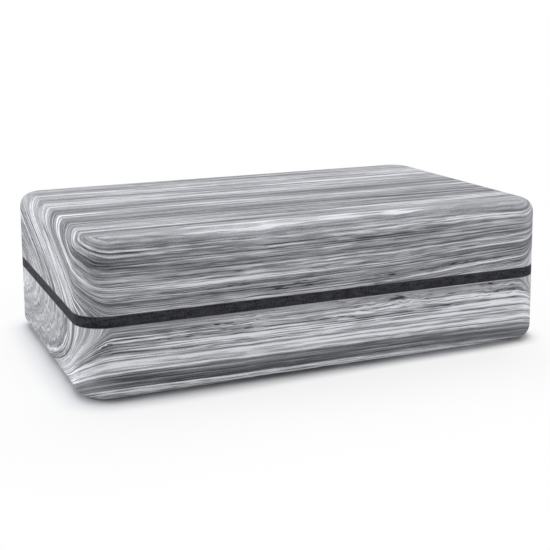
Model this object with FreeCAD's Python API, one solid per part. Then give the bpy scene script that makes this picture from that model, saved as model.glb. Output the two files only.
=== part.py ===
import FreeCAD, Part

import os

# A laminated foam yoga block, lying on its largest face.
# Two thick slabs are glued to a thin sheet between them. The glued stack is then cut to its outline
# with round corners, and the rims of its top and base are sanded round.
# X runs along the length, Y across the width and Z up. The origin is the middle of the base.
# All lengths are in millimetres.

# Outline of the cut block
block_length = 230.0
block_width = 140.0
corner_radius = 14.0

# Layers of the stack
slab_thickness = 32.5
sheet_thickness = 4.6
glue_thickness = 0.2

# Sanding of the top and base rims
rim_radius = 6.5

# Height of each layer's underside, worked out from the base up
lower_glue_base = slab_thickness
sheet_base = lower_glue_base + glue_thickness
upper_glue_base = sheet_base + sheet_thickness
upper_slab_base = upper_glue_base + glue_thickness
block_height = upper_slab_base + slab_thickness

up = FreeCAD.Vector(0, 0, 1)
quarter_turn = 90


def outline(height):
    """The cut block's rounded rectangle at one height: four quarter arcs joined by four straight sides."""
    reach_x = block_length / 2 - corner_radius
    reach_y = block_width / 2 - corner_radius
    arcs = []
    for corner, (side_x, side_y) in enumerate(((1, 1), (-1, 1), (-1, -1), (1, -1))):
        centre = FreeCAD.Vector(side_x * reach_x, side_y * reach_y, height)
        start = corner * quarter_turn
        arcs.append(Part.makeCircle(corner_radius, centre, up, start, start + quarter_turn))
    edges = []
    for arc, next_arc in zip(arcs, arcs[1:] + arcs[:1]):
        edges.append(arc)
        edges.append(Part.makeLine(arc.lastVertex().Point, next_arc.firstVertex().Point))
    return Part.Wire(edges)


def layer(base, thickness):
    """One layer of the stack, square at both faces and cut to the block's outline."""
    return Part.Face(outline(base)).extrude(up * thickness)


def height_of(face):
    """The height of a face's centre, which tells a layer's top and underside from its walls."""
    return face.CenterOfMass.z


def sanded(slab, rim_face):
    """The slab with the rim round one of its faces sanded round, through the four corners."""
    return slab.makeFillet(rim_radius, rim_face.Edges)


def lower_foam_slab():
    """The slab that the block lies on: sanded round the base, square where it is glued."""
    slab = layer(0, slab_thickness)
    return sanded(slab, min(slab.Faces, key=height_of))


def lower_glue_film():
    """Contact cement between the lower slab and the sheet."""
    return layer(lower_glue_base, glue_thickness)


def black_foam_sheet():
    """The thin sheet that shows as a stripe all the way about the block."""
    return layer(sheet_base, sheet_thickness)


def upper_glue_film():
    """Contact cement between the sheet and the upper slab."""
    return layer(upper_glue_base, glue_thickness)


def upper_foam_slab():
    """The slab on top: square where it is glued, sanded round the top."""
    slab = layer(upper_slab_base, slab_thickness)
    return sanded(slab, max(slab.Faces, key=height_of))


pieces = {
    "lower_foam_slab": lower_foam_slab(),
    "lower_glue_film": lower_glue_film(),
    "black_foam_sheet": black_foam_sheet(),
    "upper_glue_film": upper_glue_film(),
    "upper_foam_slab": upper_foam_slab(),
}

os.makedirs("parts", exist_ok=True)
for name, solid in pieces.items():
    solid.exportStep(f"parts/{name}.step")
    print(f"{name}: {solid.Volume:.0f} cubic mm, valid {solid.isValid()}")
print(f"block: {block_length:g} by {block_width:g} by {block_height:g} mm")
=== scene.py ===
# %% [markdown]
# # A laminated foam yoga block
# The block is a glued sandwich: two thick slabs of marbled foam with a wood-grain figure, and a thin black
# foam sheet between them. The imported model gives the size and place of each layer. This lesson models the
# foam layers over it, gives every layer its finish, and lights the block on a pale studio floor.

# %% Load the fixed frame
import math

import bpy
from mathutils import Matrix, Vector


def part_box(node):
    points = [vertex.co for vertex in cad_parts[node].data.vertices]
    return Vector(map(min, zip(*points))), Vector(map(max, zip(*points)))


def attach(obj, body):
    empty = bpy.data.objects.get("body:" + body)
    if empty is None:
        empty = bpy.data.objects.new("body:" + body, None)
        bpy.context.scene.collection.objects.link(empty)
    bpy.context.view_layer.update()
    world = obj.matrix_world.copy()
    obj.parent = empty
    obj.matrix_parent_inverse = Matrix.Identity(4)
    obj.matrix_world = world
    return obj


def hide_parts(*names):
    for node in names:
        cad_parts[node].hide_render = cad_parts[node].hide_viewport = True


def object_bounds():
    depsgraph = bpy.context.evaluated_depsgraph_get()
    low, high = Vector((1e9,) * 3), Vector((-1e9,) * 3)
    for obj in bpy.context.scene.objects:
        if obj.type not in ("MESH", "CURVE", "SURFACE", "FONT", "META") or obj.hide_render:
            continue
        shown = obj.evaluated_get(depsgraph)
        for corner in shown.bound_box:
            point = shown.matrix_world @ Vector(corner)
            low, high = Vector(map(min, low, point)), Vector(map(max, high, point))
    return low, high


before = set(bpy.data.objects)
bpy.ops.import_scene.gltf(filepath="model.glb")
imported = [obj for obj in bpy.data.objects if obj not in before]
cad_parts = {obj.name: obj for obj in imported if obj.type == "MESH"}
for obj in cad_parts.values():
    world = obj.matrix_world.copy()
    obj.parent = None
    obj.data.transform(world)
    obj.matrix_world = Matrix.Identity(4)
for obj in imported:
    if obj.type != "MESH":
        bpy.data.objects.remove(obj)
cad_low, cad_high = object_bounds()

MM = 0.001

print("layers:", sorted(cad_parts))
print("block in mm:", [round(side / MM, 2) for side in cad_high - cad_low])

# %% [markdown]
# ## Modelling one layer
# On the real block the layers are glued first, and the stack is then cut to its outline and sanded. A cube
# that is stretched to a layer's box and bevelled gives the same shape: a wide bevel on the upright edges is
# the cut corner, and a narrower bevel on the rim is the sanding. Edges are picked by their place, because
# there is no hand to click on them. At the end each flat face gets a thin inset border, which keeps the
# smooth shading of the bevels off the flat.


# %% A cube, and picking its edges and faces
def stretched_cube(name, node):
    """A cube of the node's size, at the node's place, with that place in its mesh."""
    low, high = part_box(node)
    bpy.ops.object.select_all(action="DESELECT")
    bpy.ops.mesh.primitive_cube_add(size=1, location=(low + high) / 2, scale=high - low)
    bpy.ops.object.transform_apply(location=True, rotation=True, scale=True)
    piece = bpy.context.object
    piece.name = name
    piece.data.name = name
    return piece


def select_edges(piece, wanted):
    """Goes into edit mode with the edges selected whose two ends pass the test."""
    bpy.ops.object.mode_set(mode="EDIT")
    bpy.ops.mesh.select_mode(type="EDGE")
    bpy.ops.mesh.select_all(action="DESELECT")
    bpy.ops.object.mode_set(mode="OBJECT")
    points = piece.data.vertices
    for edge in piece.data.edges:
        start, end = (points[i].co for i in edge.vertices)
        edge.select = wanted(start, end)
    bpy.ops.object.mode_set(mode="EDIT")


def select_faces(piece, wanted):
    """Goes into edit mode with the faces selected that pass the test."""
    bpy.ops.object.mode_set(mode="EDIT")
    bpy.ops.mesh.select_mode(type="FACE")
    bpy.ops.mesh.select_all(action="DESELECT")
    bpy.ops.object.mode_set(mode="OBJECT")
    for face in piece.data.polygons:
        face.select = wanted(face)
    bpy.ops.object.mode_set(mode="EDIT")


# %% Rounding one layer
CORNER_RADIUS = 14 * MM
CORNER_STEPS = 20
RIM_RADIUS = 6.5 * MM
RIM_STEPS = 12
GLUE_EDGE_EASE = 0.25 * MM
EASE_STEPS = 2
ROUND_PROFILE = 0.5
FLAT_BORDER = 1.2 * MM
FLAT_FACE_AREA = 300 * MM * MM
SAME_HEIGHT = 0.01 * MM
SMOOTH_ANGLE = math.radians(35)


def bevel_edges(piece, wanted, radius, steps):
    """Rounds the picked edges to one radius."""
    select_edges(piece, wanted)
    bpy.ops.mesh.bevel(
        offset=radius, segments=steps, profile=ROUND_PROFILE, affect="EDGES", clamp_overlap=False
    )
    bpy.ops.object.mode_set(mode="OBJECT")


def foam_layer(name, node, rim_height=None):
    """A layer of the block: its upright corners cut round, its rim sanded and its glue edges eased."""
    piece = stretched_cube(name, node)
    low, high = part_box(node)

    def upright(start, end):
        return abs(start.z - end.z) > SAME_HEIGHT

    def level_with(height):
        return lambda start, end: max(abs(start.z - height), abs(end.z - height)) < SAME_HEIGHT

    bevel_edges(piece, upright, CORNER_RADIUS, CORNER_STEPS)
    for height in (low.z, high.z):
        if height == rim_height:
            bevel_edges(piece, level_with(height), RIM_RADIUS, RIM_STEPS)
        else:
            bevel_edges(piece, level_with(height), GLUE_EDGE_EASE, EASE_STEPS)
    select_faces(piece, lambda face: face.area > FLAT_FACE_AREA)
    bpy.ops.mesh.inset(thickness=FLAT_BORDER, use_individual=True)
    bpy.ops.mesh.select_all(action="SELECT")
    bpy.ops.mesh.normals_make_consistent(inside=False)
    bpy.ops.object.mode_set(mode="OBJECT")
    bpy.ops.object.shade_smooth_by_angle(angle=SMOOTH_ANGLE)
    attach(piece, "root")
    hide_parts(node)
    size = [round(side / MM, 2) for side in piece.dimensions]
    print(name, "mm:", size, "faces:", len(piece.data.polygons))
    return piece


print("corner and rim radius in mm:", CORNER_RADIUS / MM, RIM_RADIUS / MM)

# %% [markdown]
# ## The three foam layers
# Only the two slabs reach an outer face, so only they have a sanded rim: the lower slab at the base and the
# upper slab at the top. The black sheet is cut square at both its glue lines. The two films of cement stay as
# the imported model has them, because a brushed film has no shape of its own.

# %% Lower slab, upper slab and black sheet
lower_slab = foam_layer("lower_slab", "lower_foam_slab", rim_height=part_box("lower_foam_slab")[0].z)
upper_slab = foam_layer("upper_slab", "upper_foam_slab", rim_height=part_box("upper_foam_slab")[1].z)
centre_sheet = foam_layer("centre_sheet", "black_foam_sheet")

# %% [markdown]
# ## Sums on nodes
# The finishes are sums of noises and distances. Wiring each Math node by hand hides the sum, so one small
# class wraps a socket and lets Python's operators add the nodes. Every other node comes from one method.
# Noises are moved down to lie around zero, so that a sum of them shifts a line to either side of its place.


# %% A socket that sums can be written with
class Term:
    """One output of a node tree. An operator on it adds a Math node and gives that node's output."""

    def __init__(self, tree, socket):
        self.tree = tree
        self.socket = socket

    def maths(self, operation, first, second=0.0):
        """Adds a Math node on two values or terms."""
        return self.tree.add("ShaderNodeMath", {"operation": operation}, {0: first, 1: second})

    def __add__(self, other):
        return self.maths("ADD", self, other)

    def __radd__(self, other):
        return self.maths("ADD", other, self)

    def __sub__(self, other):
        return self.maths("SUBTRACT", self, other)

    def __rsub__(self, other):
        return self.maths("SUBTRACT", other, self)

    def __mul__(self, other):
        return self.maths("MULTIPLY", self, other)

    def __rmul__(self, other):
        return self.maths("MULTIPLY", other, self)

    def __truediv__(self, other):
        return self.maths("DIVIDE", self, other)

    def __pow__(self, other):
        return self.maths("POWER", self, other)

    def __abs__(self):
        return self.maths("ABSOLUTE", self)


# %% A tree that is filled by one method
class Tree:
    """A node tree that is filled by one method."""

    def __init__(self, node_tree):
        self.nodes = node_tree.nodes
        self.links = node_tree.links
        self.nodes.clear()

    def add(self, kind, settings, sockets, output=0):
        """Adds a node: its settings first, then the values or links of its sockets."""
        node = self.nodes.new(kind)
        for key, value in settings.items():
            if key == "stops":
                self.set_stops(node.color_ramp, value)
            else:
                setattr(node, key, value)
        for key, value in sockets.items():
            if isinstance(value, Term):
                self.links.new(value.socket, node.inputs[key])
            else:
                node.inputs[key].default_value = value
        return Term(self, node.outputs[output]) if node.outputs else node

    def set_stops(self, ramp, stops):
        """Gives a ramp its (place, grey) stops."""
        while len(ramp.elements) < len(stops):
            ramp.elements.new(1.0)
        for element, (place, grey) in zip(ramp.elements, stops):
            element.position = place
            element.color = (grey, grey, grey, 1.0)


# %% Steps, places and noises as terms
MIDDLE = 0.5
# A Mix node has sockets for several kinds of data. These are the ones for colours.
MIX_SHARE = 0
MIX_FIRST = 6
MIX_SECOND = 7
MIX_RESULT = 2


def smooth_step(value, low, high):
    """0 below low, 1 above high and an S-curve between."""
    return value.tree.add(
        "ShaderNodeMapRange",
        {"interpolation_type": "SMOOTHSTEP"},
        {"Value": value, "From Min": low, "From Max": high, "To Min": 0.0, "To Max": 1.0},
    )


def place_in_mm(tree):
    """The surface point's x, y and z in the block's own frame, in millimetres."""
    place = tree.add("ShaderNodeTexCoord", {}, {}, "Object")
    return [tree.add("ShaderNodeSeparateXYZ", {}, {"Vector": place}, axis) / MM for axis in "XYZ"]


def noise(tree, place, size, detail=0.0):
    """A cloudy pattern around zero, about half a unit each way, with clouds of one size along each axis."""
    scaled = {axis: along / step for axis, along, step in zip("XYZ", place, size)}
    vector = tree.add("ShaderNodeCombineXYZ", {}, scaled)
    return tree.add("ShaderNodeTexNoise", {}, {"Vector": vector, "Scale": 1.0, "Detail": detail}) - MIDDLE


def mixed(tree, share, first, second):
    """A colour between two others."""
    sockets = {MIX_SHARE: share, MIX_FIRST: first, MIX_SECOND: second}
    return tree.add("ShaderNodeMix", {"data_type": "RGBA"}, sockets, MIX_RESULT)


def new_finish(name):
    """A fresh material, and its empty node tree."""
    material = bpy.data.materials.new(name)
    material.use_nodes = True
    return material, Tree(material.node_tree)


def finish_surface(tree, colour, roughness, specular, **more):
    """The shader at the end of a finish."""
    sockets = {"Base Color": colour, "Roughness": roughness, "Specular IOR Level": specular, **more}
    shader = tree.add("ShaderNodeBsdfPrincipled", {}, sockets)
    tree.add("ShaderNodeOutputMaterial", {}, {"Surface": shader})


# %% [markdown]
# ## The marbled foam
# Sheets of dark, grey and white foam are rolled into one another before they set, so the colour lies in thin
# layers right through the slab, as growth rings do in timber. The grain on each face is where the face cuts
# those layers. A painted picture for each face would not meet at the rims. So the finish works out a layer
# number for any point inside the slab, and a tone from that number: then the lines run over the rims and
# round the corners by themselves.
#
# In the cells below, the size of a noise is three lengths along x, y and z in millimetres. Any other value of
# two numbers is mostly the start and the end of a soft step, and one of three is a window with the width of
# its edge.


# %% Limits, bends and windows on a term
def root(value):
    """The square root of the value."""
    return value ** 0.5


def larger(value, limit):
    """The value, but never below the limit."""
    return value.maths("MAXIMUM", value, limit)


def smaller(value, limit):
    """The value, but never above the limit."""
    return value.maths("MINIMUM", value, limit)


def above_zero(value, bend):
    """The value where it is well above 0 and 0 where it is well below, with a soft bend between."""
    return (value + root(value * value + bend * bend)) / 2


def from_to(share, start, end):
    """From start to end as the share goes from 0 to 1."""
    return share * (end - start) + start


def window(value, low, high, edge):
    """1 between low and high, fading to 0 over one edge outside them."""
    return smooth_step(value, low - edge, low) * smooth_step(value, high + edge, high)


# %% [markdown]
# ### Tones of the layers
# A rolled slab has a few broad bands that run the whole length, and between them hundreds of thin lines that
# come and go. The broad bands are stops on a ramp over the layer number. The thin lines are noises that are
# squeezed to a fraction of a millimetre across the layers and drawn out along the block, and sharpened to an
# edge. Each set has its own thickness and length, because the eye takes a single width for a printed pattern.


# %% Broad bands
def banded(tree, layer, bands):
    """The grey of the placed bands, each a layer number and a tone."""
    first = bands[0][0]
    span = bands[-1][0] - first
    stops = [((depth - first) / span, grey) for depth, grey in bands]
    return tree.add("ShaderNodeValToRGB", {"stops": stops}, {"Fac": (layer - first) / span})


# %% Thin lines
# Each set: thickness and length in mm, strength as a share of the tone, and softness of the edge.
LONG_LINES = (
    (4.0, 200, 0.05, 0.09),
    (2.4, 170, 0.07, 0.09),
    (1.4, 150, 0.10, 0.08),
    (0.8, 110, 0.22, 0.08),
    (0.5, 80, 0.38, 0.09),
)
SHORT_LINES = (
    (0.6, 30, 0.22, 0.09),
    (0.45, 9, 0.26, 0.12),
)
LENGTH_TO_WIDTH = 2.0
SET_SPACING = 7.0


def grain_lines(tree, layer, x, y, line_sets):
    """Thin lines of several widths, as a share of the tone they lie on."""
    total = 0.0
    for thickness, length, strength, edge in line_sets:
        apart = layer + SET_SPACING * length * thickness
        pattern = noise(tree, (x, y, apart), (length, length / LENGTH_TO_WIDTH, thickness))
        total = (smooth_step(pattern, -edge, edge) - MIDDLE) * strength + total
    return total


print("sets of thin lines:", len(LONG_LINES), "long and", len(SHORT_LINES), "short")

# %% Dark flecks
FLECK_SIZE = (6, 6, 0.55)
FLECK_EDGE = (0.1, 0.2)
FLECK_PATCH = (35, 35, 5)
PATCH_EDGE = (0.0, 0.12)


def flecks(tree, x, y, layer):
    """Patches of short dark flecks between the lines, 1 in a fleck."""
    fleck = noise(tree, (x, y, layer), FLECK_SIZE)
    patch = noise(tree, (x, y, layer), FLECK_PATCH)
    return smooth_step(fleck, *FLECK_EDGE) * smooth_step(patch, *PATCH_EDGE)


print("size of a fleck in mm:", FLECK_SIZE)

# %% [markdown]
# ### From a layer number to a finish
# Both slabs are the same foam, rolled in two ways, so one function makes both finishes and takes the formula
# of the layers from outside. With the layer number, that formula says how far the layers wander there,
# because foam creeps while it sets, how much the short lines show, how strong all the lines are, and where a
# white or a dark accent lies. The cut surface is open cells: a fine noise lightens and darkens them, dents
# the light on them and makes some of them duller. Tones are written as the eye sees them and turned into
# light by a power at the end.

# %% One finish for both slabs
DARK_TINT = (0.0, 0.0, 0.006, 1.0)
FOAM_TINT = (0.965, 0.98, 1.035, 1.0)
EYE_GAMMA = 2.2
DARKEST_TONE = 0.02
WHITE_FOAM = 0.98
DRIFT_SIZE = (150, 70, 70)
DRIFT_DEPTH = 2.0
WAVE_SIZE = (26, 14, 14)
WAVE_DEPTH = 0.5
RIPPLE_SIZE = (5, 4, 3)
RIPPLE_DEPTH = 0.3
PORE_SIZE = (0.7, 0.7, 0.42)
PORE_STRENGTH = 0.22
PORE_DENT = 0.2 * MM
DENT_STRENGTH = 0.25
FOAM_ROUGHNESS = 0.8
PORE_ROUGHNESS = 0.3
FOAM_SPECULAR = 0.25


def grain_finish(name, layer_of, lower_bands, upper_bands):
    """Marbled foam. The last of the lower bands is the first of the upper ones, so it is counted once."""
    material, tree = new_finish(name)
    x, y, z = place_in_mm(tree)
    layer, unrest, broken, vigour, accent = layer_of(tree, x, y, z)
    drift = noise(tree, (x, y, z), DRIFT_SIZE) * DRIFT_DEPTH
    wave = noise(tree, (x, y, z), WAVE_SIZE) * WAVE_DEPTH
    ripple = noise(tree, (x, y, z), RIPPLE_SIZE) * RIPPLE_DEPTH
    layer = layer + drift + (wave + ripple) * unrest
    shared_tone = upper_bands[0][1]
    tone = banded(tree, layer, lower_bands) + banded(tree, layer, upper_bands) - shared_tone
    lines = grain_lines(tree, layer, x, y, LONG_LINES) + grain_lines(tree, layer, x, y, SHORT_LINES) * broken
    tone = tone * (1 + lines * vigour)
    pores = noise(tree, (x, y, z), PORE_SIZE, detail=1.0)
    tone = tone + pores * PORE_STRENGTH
    tone = tone + (WHITE_FOAM - tone) * accent(layer)
    colour = mixed(tree, larger(tone, DARKEST_TONE) ** EYE_GAMMA, DARK_TINT, FOAM_TINT)
    dented = {"Strength": DENT_STRENGTH, "Distance": PORE_DENT, "Height": pores}
    dents = tree.add("ShaderNodeBump", {}, dented)
    roughness = pores * PORE_ROUGHNESS + FOAM_ROUGHNESS
    finish_surface(tree, colour, roughness, FOAM_SPECULAR, Normal=dents)
    print(name, "nodes:", len(tree.nodes))
    return material


# %% [markdown]
# ## Layers of the upper slab
# In the upper slab the sheets slope down from the back to the front and curl under at the front face, so the
# front shows them edge on, the top shows them nearly flat, and the ends show the slope. A layer's number is
# the depth in millimetres at which it comes out on the front face. The curl is a parabola in the depth. A
# square root turns it round to find the number, and past the turn, where a layer never meets the front, the
# count simply goes on. Near a cut face the sheets are pressed closer, which the skin function adds.

# %% Where the upper layers run
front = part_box("upper_foam_slab")[0].y / MM
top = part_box("upper_foam_slab")[1].z / MM
UPPER_DROP = 0.268
UPPER_CURL = 0.0112
UPPER_TURN = 1 / (4 * UPPER_CURL)
CURL_REACH = 200
RISE_START = 35
RISE_BEND = 25
UPPER_RISE = 0.0025
BELLY = 3.0
BELLY_STARTS = (4.0, 12.0)
BELLY_ENDS = (16.0, 28.0)
BELLY_LOSS = 0.9
FRONT_BEND = 2.0
# A skin has a height and a width.
FRONT_SKIN = (2.8, 1.6)
TOP_SKIN = (1.4, 0.5)
SKIN_START = 2.05
ROOT_FLOOR = 0.0001
HIDDEN_PACE = 1.7
HIDDEN_REACH = 19


def skin(value, height, width):
    """A rise close to the surface, where the layers were pressed together."""
    return value * height / (value + width)


def upper_run(x, y, z):
    """Depth under the top, distance in from the front, and the number of the layer there."""
    depth = (top - z) * (1 + above_zero(x - RISE_START, RISE_BEND) * UPPER_RISE)
    belly = smooth_step(depth, *BELLY_STARTS) - smooth_step(depth, *BELLY_ENDS) * BELLY_LOSS
    inward = above_zero(y - front - belly * BELLY, FRONT_BEND)
    curl = (1 - inward / CURL_REACH) * UPPER_CURL
    sunk = depth - depth * depth * curl + inward * UPPER_DROP
    sunk = sunk + skin(inward, *FRONT_SKIN) + skin(depth, *TOP_SKIN) - SKIN_START
    met = 1 - root(larger(1 - sunk / UPPER_TURN, ROOT_FLOOR))
    hidden = larger(sunk - UPPER_TURN, 0.0)
    beyond_turn = smaller(hidden, HIDDEN_REACH) * HIDDEN_PACE + larger(hidden - HIDDEN_REACH, 0.0)
    return depth, inward, met / (2 * UPPER_CURL) + beyond_turn


print("upper layers turn at mm:", round(UPPER_TURN, 2))

# %% [markdown]
# ### The white streak and the flecks of the upper slab
# One white sheet comes out along the front rim, where the cut is almost parallel to it. There it shows as a
# chain of long slivers, some of them closed round a grey eye. The streak is a narrow window on the layer
# number, just past the lowest one on the rim, that wanders and swells along the block. A few long lines comb
# it, so that no part of it is a plain white patch.

# %% White streak
STREAK_LAYER = 2.45
STREAK_WANDER = 1.2
WANDER_SIZE = (19, 8, 8)
STREAK_ENDS = (-66, 48, 12)
STREAK_EDGE = (0.14, 0.04)
STREAK_SWELL = 0.32
SWELL_SIZE = (22, 60, 60)
SWELL_EDGE = (-0.15, 0.12)
COMB_SIZE = (50, 60, 0.2)
COMB_EDGE = (0.05, 0.11)
COMB_SHARE = 0.4


def white_streak(tree, x, y, z, layer):
    """1 in the white slivers along the front rim."""
    wander = noise(tree, (x, y, z), WANDER_SIZE) * STREAK_WANDER
    off_crest = abs(layer + wander - STREAK_LAYER)
    swell = smooth_step(noise(tree, (x, y, z), SWELL_SIZE), *SWELL_EDGE) * STREAK_SWELL
    combed = smooth_step(noise(tree, (x, y, layer), COMB_SIZE), *COMB_EDGE) * COMB_SHARE
    return smooth_step(off_crest - swell, *STREAK_EDGE) * (1 - combed) * window(x, *STREAK_ENDS)


print("white streak along x in mm:", STREAK_ENDS[:2])

# %% Bands of the upper slab
# Each band: the layer number and the tone. Two ramps share the bands, because one ramp holds at most 32.
UPPER_NEAR_BANDS = (
    (1, 0.70), (4, 0.70), (5, 0.67), (6.5, 0.69), (8, 0.68), (9.5, 0.62), (10.5, 0.58), (11.5, 0.57),
    (13, 0.62), (14.5, 0.58), (16, 0.59), (17, 0.58), (18, 0.62), (19, 0.70), (20.3, 0.73), (22.3, 0.76),
    (23.5, 0.72), (25.3, 0.54), (26.3, 0.56), (27.5, 0.66), (28.3, 0.60), (29.5, 0.49), (30.5, 0.49),
    (32, 0.54), (34, 0.70), (36, 0.63), (39, 0.60),
)
UPPER_DEEP_BANDS = (
    (39, 0.60), (41.7, 0.74), (43.5, 0.69), (46, 0.71), (49, 0.73), (52, 0.73), (54.5, 0.66), (58.5, 0.71),
    (64, 0.67), (66, 0.66), (70, 0.64), (74, 0.61), (80, 0.67), (85, 0.57), (90, 0.70), (95, 0.60),
    (101, 0.66),
)
print("upper bands to mm:", UPPER_NEAR_BANDS[-1][0], "and", UPPER_DEEP_BANDS[-1][0])

# %% Upper slab's finish
AT_FRONT = (4.0, 16.0)
BELOW_RIM = (2.0, 8.0)
BEHIND_RIM = (5.0, 15.0)
PALE_RIM = (3.0, 6.5)
RIM_VIGOUR = 0.4
FRONT_VIGOUR = 0.9
END_VIGOUR = 1.6
RESTLESS_FROM = (12.0, 20.0)
RIM_UNREST = 0.7
TOP_UNREST = 0.5
END_UNREST = 2.0
TOP_BROKEN = 0.5
UPPER_FLECKS = (20.0, 38.0, 3.0)
UPPER_FLECK_SHARE = 0.6


def upper_layer(tree, x, y, z):
    """The upper slab's layer number, and how lively its lines are there."""
    depth, inward, layer = upper_run(x, y, z)
    on_front = 1 - smooth_step(inward, *AT_FRONT)
    on_end = smooth_step(depth, *BELOW_RIM) * smooth_step(inward, *BEHIND_RIM)
    vigour = from_to(smooth_step(layer, *PALE_RIM), RIM_VIGOUR, FRONT_VIGOUR)
    vigour = vigour * from_to(on_end, 1.0, END_VIGOUR)
    unrest = from_to(smooth_step(layer, *RESTLESS_FROM), RIM_UNREST, 1.0)
    unrest = unrest * from_to(on_front, TOP_UNREST, 1.0) * from_to(on_end, 1.0, END_UNREST)
    broken = from_to(on_front, TOP_BROKEN, 1.0)

    def accent(warped):
        dark = flecks(tree, x, y, warped) * window(warped, *UPPER_FLECKS) * on_front
        return white_streak(tree, x, y, z, warped) - dark * UPPER_FLECK_SHARE

    return layer, unrest, broken, vigour, accent


upper_grain = grain_finish("upper_grain", upper_layer, UPPER_NEAR_BANDS, UPPER_DEEP_BANDS)
upper_slab.data.materials.append(upper_grain)

# %% [markdown]
# ## Layers of the lower slab
# The lower slab was cut from a roll. Its sheets are arcs round an axis near the back, flattened to an oval,
# and the ends show them as nested rings. A layer's number is again its depth on the front face, here below
# the black sheet. Rings inside the front have no such depth, so they count on with negative numbers. In the
# heart of the roll the sheets were pushed together and folded, which a bent noise draws as chevrons. Just
# under the black sheet they are knotted in places, and lower down they sink a little from left to right.

# %% Where the lower layers run
AXIS_Y = 88
AXIS_Z = 32.9
OVAL = 3.69
FRONT_RING = (AXIS_Y - front) / OVAL
SHOULDER = 8
HEART = (-5.0, -10.0)
CHEVRON_SIZE = (120, 6, 18)
CHEVRON_DEPTH = 6.5
KNOT_SIZE = (4, 4, 1.3)
KNOT_LAYERS = (2.0, 7.0, 2.0)
KNOT_PATCH = (30, 30, 12)
KNOT_PATCH_EDGE = (-0.05, 0.1)
KNOT_DEPTH = 1.6
TILT = 0.009
TILT_FROM = (2.0, 10.0)


def lower_run(tree, x, y, z):
    """Distance outside the ring that meets the front at the sheet, and the number of the layer there."""
    across = (AXIS_Y - y) / OVAL
    under = AXIS_Z - z
    beyond = root(across * across + under * under) - FRONT_RING
    # A ring that is only a little larger meets the front much lower, so the depth is a root.
    outer = root(larger(beyond, 0.0) * 2.0 * FRONT_RING)
    # Inside, the count starts as a root as well and goes on evenly from the shoulder.
    inside = smaller(larger(0 - beyond, 0.0), SHOULDER)
    inner = smaller(beyond + SHOULDER, 0.0) - root(inside * 4.0 * SHOULDER)
    chevrons = abs(noise(tree, (x, y, z), CHEVRON_SIZE)) * smooth_step(beyond, *HEART) * CHEVRON_DEPTH
    knotty = smooth_step(noise(tree, (x, y, z), KNOT_PATCH), *KNOT_PATCH_EDGE) * window(outer, *KNOT_LAYERS)
    knots = noise(tree, (x, y, z), KNOT_SIZE) * knotty * KNOT_DEPTH
    tilt = x * smooth_step(outer, *TILT_FROM) * TILT
    return beyond, outer, outer + inner + chevrons + knots - tilt


print("ring that meets the front in mm:", round(FRONT_RING, 2))

# %% Bands of the lower slab
LOWER_RING_BANDS = (
    (-46, 0.70), (-38, 0.76), (-36, 0.73), (-34, 0.66), (-16, 0.65), (-15.2, 0.59), (-14.6, 0.71),
    (-14, 0.77), (-13.3, 0.72), (-12.6, 0.77), (-12, 0.75), (-11.3, 0.59), (-10.7, 0.53), (-10, 0.66),
    (-9, 0.79), (-8.3, 0.75), (-7, 0.79), (-5.7, 0.80), (0.3, 0.76), (1.2, 0.60), (2.2, 0.64), (3.2, 0.76),
    (4.5, 0.72), (6.5, 0.73),
)
LOWER_FRONT_BANDS = (
    (6.5, 0.73), (8, 0.79), (9, 0.70), (10.3, 0.86), (11.5, 0.84), (11.9, 0.68), (12.3, 0.80), (12.8, 0.65),
    (13.2, 0.82), (14.3, 0.91), (15.0, 0.86), (15.4, 0.60), (15.8, 0.83), (16.8, 0.90), (17.3, 0.78),
    (17.7, 0.88), (18.4, 0.92), (19.3, 0.87), (19.6, 0.62), (19.9, 0.84), (20.4, 0.91), (20.9, 0.84),
    (21.3, 0.50), (22.1, 0.46), (22.5, 0.60), (22.9, 0.46), (24.3, 0.40), (24.8, 0.52), (25.3, 0.42),
    (26.8, 0.44), (27.3, 0.90), (31, 0.82),
)
print("lower bands to mm:", LOWER_RING_BANDS[-1][0], "and", LOWER_FRONT_BANDS[-1][0])

# %% [markdown]
# ### Rest and unrest in the lower slab
# The heart of the roll, its shoulder and the base have calmer lines than the front. The dark band near the
# base is deepest at the left of the front. It grows paler to the right, and where it runs round the left
# corner.

# %% Lower slab's finish
CALM_HEART = 0.4
CALM_SHOULDER = (-9.0, 3.0, 2.0)
CALM_SHOULDER_SHARE = 0.5
CALM_BASE = (15.5, 27.0, 1.0)
CALM_BASE_SHARE = 0.35
IN_ROLL = (-1.0, -6.0)
ROLL_REST = 0.65
ROLL_WHOLE = 0.5
STRAIGHT_FROM = (7.0, 11.0)
STRAIGHT_REST = 0.4
LOWER_FLECKS = (1.5, 9.0, 1.5)
LOWER_FLECK_SHARE = 0.9
BASE_BAND = (21.0, 27.0, 0.5)
BASE_BAND_FADE = 0.0015
ROUND_CORNER = (-95.0, -112.0)
PALE_CORNER = 0.4


def lower_layer(tree, x, y, z):
    """The lower slab's layer number, and how lively its lines are there."""
    beyond, outer, layer = lower_run(tree, x, y, z)
    in_roll = smooth_step(beyond, *IN_ROLL)
    calm = smooth_step(beyond, *HEART) * CALM_HEART
    calm = calm + window(layer, *CALM_SHOULDER) * CALM_SHOULDER_SHARE
    calm = calm + window(layer, *CALM_BASE) * CALM_BASE_SHARE
    unrest = 1 - in_roll * ROLL_REST - smooth_step(outer, *STRAIGHT_FROM) * STRAIGHT_REST
    broken = 1 - in_roll * ROLL_WHOLE

    def accent(warped):
        dark = flecks(tree, x, y, warped) * window(warped, *LOWER_FLECKS)
        pale = x * BASE_BAND_FADE + smooth_step(x, *ROUND_CORNER) * PALE_CORNER
        return window(warped, *BASE_BAND) * pale - dark * LOWER_FLECK_SHARE

    return layer, unrest, broken, 1 - calm, accent


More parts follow.
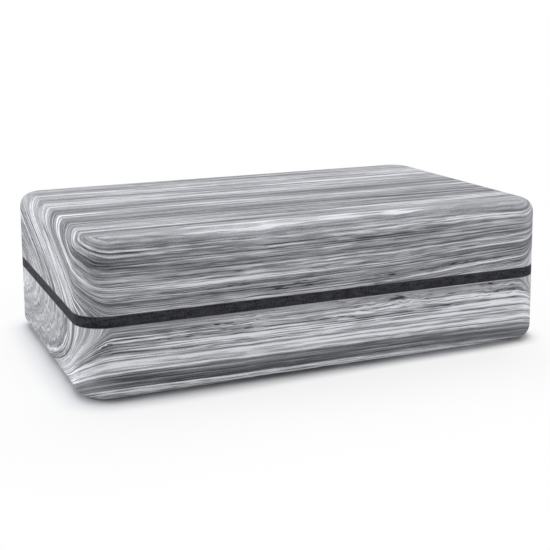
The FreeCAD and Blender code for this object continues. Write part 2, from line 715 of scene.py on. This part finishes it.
lower_grain = grain_finish("lower_grain", lower_layer, LOWER_RING_BANDS, LOWER_FRONT_BANDS)
lower_slab.data.materials.append(lower_grain)

# %% [markdown]
# ## The black sheet and the cement
# The middle sheet is black foam of one colour. Its cut edge still shows its cells as a fine mottle, and it
# has almost no shine. The cement is brushed on in a film as thin as paper, which goes patchy as it dries.
# It shows only as a hairline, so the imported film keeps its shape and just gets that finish.

# %% Black foam
BLACK_LOW = (0.014, 0.014, 0.018, 1)
BLACK_HIGH = (0.066, 0.067, 0.078, 1)
CELL_SIZE = (0.7, 0.7, 0.7)
CELL_SHARE = 2.0
MOTTLE_SIZE = (5, 5, 1.5)
MOTTLE_SHARE = 1.5
BLACK_ROUGHNESS = 0.8
BLACK_SPECULAR = 0.05

material, tree = new_finish("black_foam")
place = place_in_mm(tree)
cells = noise(tree, place, CELL_SIZE, detail=1.0) * CELL_SHARE
mottle = noise(tree, place, MOTTLE_SIZE, detail=1.0) * MOTTLE_SHARE
colour = mixed(tree, cells + mottle + MIDDLE, BLACK_LOW, BLACK_HIGH)
finish_surface(tree, colour, BLACK_ROUGHNESS, BLACK_SPECULAR)
centre_sheet.data.materials.append(material)
print("black foam nodes:", len(tree.nodes))

# %% Contact cement
CEMENT_LOW = (0.05, 0.05, 0.05, 1)
CEMENT_HIGH = (0.12, 0.12, 0.12, 1)
BRUSH_SIZE = (4, 4, 4)
CEMENT_ROUGHNESS = 0.6
CEMENT_SPECULAR = 0.3

material, tree = new_finish("contact_cement")
patchy = noise(tree, place_in_mm(tree), BRUSH_SIZE, detail=2.0)
colour = mixed(tree, patchy + MIDDLE, CEMENT_LOW, CEMENT_HIGH)
finish_surface(tree, colour, CEMENT_ROUGHNESS, CEMENT_SPECULAR)
for node in ("lower_glue_film", "upper_glue_film"):
    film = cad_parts[node]
    film.data.materials.clear()
    film.data.materials.append(material)
    print(node, "finish:", film.data.materials[0].name)

# %% [markdown]
# ## Floor
# The block stands on white studio paper that fades into a white background. A real sweep is lit until it is
# white, but that light would bleach the block as well. Here the paper shows plain white to the eye away from
# the block, and an ordinary lit surface close to it, where its shadow lies; how far that shadow reaches is
# painted, by a mask on the distance to the block. For the light that it throws back at the block the paper is
# much darker, so the sides keep their depth.

# %% A plane of paper
FLOOR_SIZE = 8.0

bpy.ops.object.select_all(action="DESELECT")
bpy.ops.mesh.primitive_plane_add(size=FLOOR_SIZE, location=(0, 0, cad_low.z))
floor = bpy.context.object
floor.name = "studio_floor"
print("floor at z:", round(cad_low.z, 4))


# %% Who looks at the paper, and how far it is from the block
def seen_directly(tree):
    """1 for rays from the camera, mirrors and glass, and 0 for rays that carry light."""
    names = ("Is Camera Ray", "Is Glossy Ray", "Is Transmission Ray")
    rays = [tree.add("ShaderNodeLightPath", {}, {}, name) for name in names]
    return rays[0] + rays[1] + rays[2]


def gap_to_block(x, y):
    """Distance in mm from a floor point to the block's rounded outline, negative under the block."""
    past_end = abs(x) - (cad_high.x - CORNER_RADIUS) / MM
    past_side = abs(y) - (cad_high.y - CORNER_RADIUS) / MM
    past_corner = root(larger(past_end, 0.0) ** 2 + larger(past_side, 0.0) ** 2)
    return past_corner + smaller(larger(past_end, past_side), 0.0) - CORNER_RADIUS / MM


# %% [markdown]
# ### Shadow on the paper
# The reach of the shadow is painted: two soft steps on the gap to the block, a short one close by and a long,
# faint one, blend the lit paper and its real shadow into plain white. Under the edge the paper's colour is
# darkened with painted shade, standing in for the dark where no light gets in. Towards the right the shadow
# is painted narrower and is faded out past that end with painted light, and the painted shade under the edge
# is paler at both ends.

# %% Where the shadow lies
# Painted shadow reach: it narrows to the right, and two soft steps on the gap, close by and far off, fade it
# into white.
NARROW_RIGHT = (-80.0, 80.0)
NARROW_TIMES = 1.8
NEAR_SHADOW = (-3.0, 14.0)
NEAR_SHARE = 0.8
FAR_SHADOW = (10.0, 110.0)
FAR_SHARE = 0.2
# Painted light at the right end: where it starts and ends along x, its share, and the soft step on the gap
# that keeps it off the paper under the block.
PAINTED_LIGHT_RIGHT = (70.0, 130.0)
PAINTED_LIGHT_RIGHT_SHARE = 0.7
PAINTED_LIGHT_OUTSIDE = (-5.0, 3.0)

material, tree = new_finish("studio_floor")
x, y = place_in_mm(tree)[:2]
gap = gap_to_block(x, y)
to_right = smooth_step(x, *NARROW_RIGHT)
near = gap * from_to(to_right, 1.0, NARROW_TIMES)
# Painted light: past the right end the shadow is faded into plain white glow.
painted_light_right = smooth_step(x, *PAINTED_LIGHT_RIGHT) * PAINTED_LIGHT_RIGHT_SHARE * smooth_step(gap, *PAINTED_LIGHT_OUTSIDE)
# The lit paper's real shadow shows only as far as this painted reach; beyond it the paper is blended into
# plain white glow.
shadow = 1 - smooth_step(near, *NEAR_SHADOW) * NEAR_SHARE - smooth_step(gap, *FAR_SHADOW) * FAR_SHARE
shadow = shadow * (1 - painted_light_right)
print("nodes of the floor's shadow:", len(tree.nodes))

# %% Finish of the paper
PAPER = (0.915, 0.925, 0.955, 1)
PAPER_FOR_LIGHT = (0.2, 0.2, 0.2, 1)
WHITE = (1, 1, 1, 1)
FLOOR_ROUGHNESS = 0.6
FLOOR_SPECULAR = 0.1
# Painted shade under the block's edge: its soft step on the gap, its darkest share, and how much it is lifted
# at the left and the right end.
PAINTED_SHADE_EDGE = (-5.0, 5.0)
PAINTED_SHADE_DARK = 0.15
PAINTED_SHADE_LEFT = 0.7
PAINTED_SHADE_RIGHT = 0.3
LEFT_END = (98.0, 118.0)

seen = seen_directly(tree)
# Painted shade: the paper's colour is darkened under the block's edge, and less so at both ends.
darkest_painted_shade = from_to(smooth_step(0 - x, *LEFT_END), PAINTED_SHADE_DARK, PAINTED_SHADE_LEFT) + to_right * PAINTED_SHADE_RIGHT
painted_contact_shade = from_to(smooth_step(near, *PAINTED_SHADE_EDGE), darkest_painted_shade, 1.0)
grey = mixed(tree, seen * painted_contact_shade, PAPER_FOR_LIGHT, PAPER)
lit_paper = {"Base Color": grey, "Roughness": FLOOR_ROUGHNESS, "Specular IOR Level": FLOOR_SPECULAR}
paper = tree.add("ShaderNodeBsdfPrincipled", {}, lit_paper)
white = tree.add("ShaderNodeEmission", {}, {"Color": WHITE, "Strength": 1.0})
fade = (1 - shadow) * seen
surface = tree.add("ShaderNodeMixShader", {}, {0: fade, 1: paper, 2: white})
tree.add("ShaderNodeOutputMaterial", {}, {"Surface": surface})
floor.data.materials.append(material)
print("floor finish:", material.name, "nodes:", len(tree.nodes))

# %% [markdown]
# ## Light
# Four soft boxes stand round the block, as in a product studio: one over it, one low in front and one at
# each end. Large lamps close to the block give soft edges to the shadows and show the round of the rims. The
# white surroundings add an even glow, weaker for the block than for the eye.

# %% Surroundings and soft boxes
AMBIENT = 0.25
# Each lamp: name, direction from the block, distance and side length in metres, and power in watts.
LAMPS = (
    ("top_lamp", (-0.05, 0.36, 0.93), 1.3, 0.9, 8.0),
    ("left_lamp", (-0.93, 0.30, 0.25), 1.3, 0.8, 13.9),
    ("front_lamp", (0.35, -0.92, 0.16), 1.6, 0.8, 14.8),
    ("right_lamp", (0.85, 0.50, 0.15), 1.5, 0.8, 7.0),
)

world = bpy.data.worlds.new("studio")
world.use_nodes = True
bpy.context.scene.world = world
tree = Tree(world.node_tree)
glow = from_to(seen_directly(tree), AMBIENT, 1.0)
background = tree.add("ShaderNodeBackground", {}, {"Color": WHITE, "Strength": glow})
tree.add("ShaderNodeOutputWorld", {}, {"Surface": background})

for name, direction, distance, size, power in LAMPS:
    towards = Vector(direction).normalized()
    bpy.ops.object.light_add(type="AREA", location=towards * distance)
    lamp = bpy.context.object
    lamp.name = name
    lamp.rotation_euler = towards.to_track_quat("Z", "Y").to_euler()
    lamp.data.size = size
    lamp.data.energy = power
    print(name, "at m:", [round(along, 2) for along in lamp.location])

# %% [markdown]
# ## Camera
# The picture is taken from a little above the block and to its left, from about half a metre away. The near
# lower corner is drawn larger by that short distance. Part of the framing comes from a shifted lens rather
# than a tipped camera, as a product photographer does it, so that the upright edges stay nearly upright.

# %% Camera at the picture's angle
CAMERA_TURN = math.radians(-23.04)
CAMERA_LIFT = math.radians(9.05)
CAMERA_ROLL = math.radians(-0.40)
CAMERA_DISTANCE = 0.5609
CAMERA_AIM = Vector((0.0043, 0.0048, 0.0785))
SENSOR_WIDTH = 36.0
LENS_SHARE = 2.01
FRAME_SHIFT = -0.18
NEAREST_SEEN = 0.01

turn = Matrix.Rotation(CAMERA_TURN, 3, "Z")
lift = Matrix.Rotation(math.pi / 2 - CAMERA_LIFT, 3, "X")
roll = Matrix.Rotation(CAMERA_ROLL, 3, "Z")
aim = turn @ lift @ roll
backwards = aim @ Vector((0, 0, 1))
bpy.ops.object.camera_add(location=CAMERA_AIM + backwards * CAMERA_DISTANCE, rotation=aim.to_euler())
camera = bpy.context.object
camera.data.sensor_width = SENSOR_WIDTH
camera.data.lens = LENS_SHARE * SENSOR_WIDTH
camera.data.shift_y = FRAME_SHIFT
camera.data.clip_start = NEAREST_SEEN
bpy.context.scene.camera = camera
bpy.context.scene.view_settings.view_transform = "Standard"
print("camera at m:", [round(along, 3) for along in camera.location], "lens mm:", round(camera.data.lens, 1))
